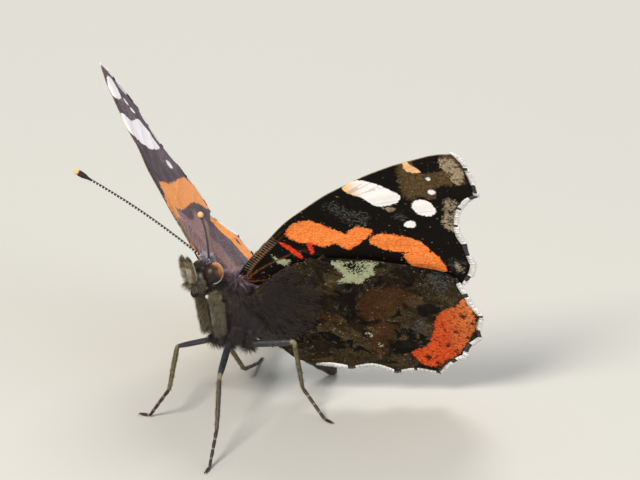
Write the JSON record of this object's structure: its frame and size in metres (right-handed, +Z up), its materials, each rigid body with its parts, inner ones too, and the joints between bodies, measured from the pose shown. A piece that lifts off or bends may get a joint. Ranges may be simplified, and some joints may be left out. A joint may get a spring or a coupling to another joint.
{
  "type": "red admiral butterfly",
  "caption": "Life-size red admiral butterfly standing with its wings half raised, antennae spread and abdomen tip on the ground.",
  "frame": {"origin": "middle of the box around the insect, at the ground under its feet", "axes": "+Z up, the head towards -Y, the insect's left side towards +X, which is the long side of the box across the spread wings"},
  "size_m": [0.0562, 0.0282, 0.0303],
  "materials": {
    "wing_scales": "matte",
    "body_hair": "matte",
    "leg_cuticle": "satin",
    "antenna_scales": "matte",
    "eye": "gloss"
  },
  "bodies": {
    "root": {"forewing_left": "wing_scales", "forewing_right": "wing_scales", "hindwing_left": "wing_scales", "hindwing_right": "wing_scales", "thorax": "body_hair", "abdomen": "body_hair", "head": "body_hair", "palp_left": "body_hair", "palp_right": "body_hair", "foreleg_left": "body_hair", "foreleg_right": "body_hair", "eye_left": "eye", "eye_right": "eye", "proboscis": "leg_cuticle", "antenna_left": "antenna_scales", "antenna_right": "antenna_scales", "femur_mid_left": "leg_cuticle", "femur_mid_right": "leg_cuticle", "femur_hind_left": "leg_cuticle", "femur_hind_right": "leg_cuticle", "tibia_mid_left": "leg_cuticle", "tibia_mid_right": "leg_cuticle", "tibia_hind_left": "leg_cuticle", "tibia_hind_right": "leg_cuticle", "tarsus_mid_left": "leg_cuticle", "tarsus_mid_right": "leg_cuticle", "tarsus_hind_left": "leg_cuticle", "tarsus_hind_right": "leg_cuticle"}
  },
  "joints": []
}
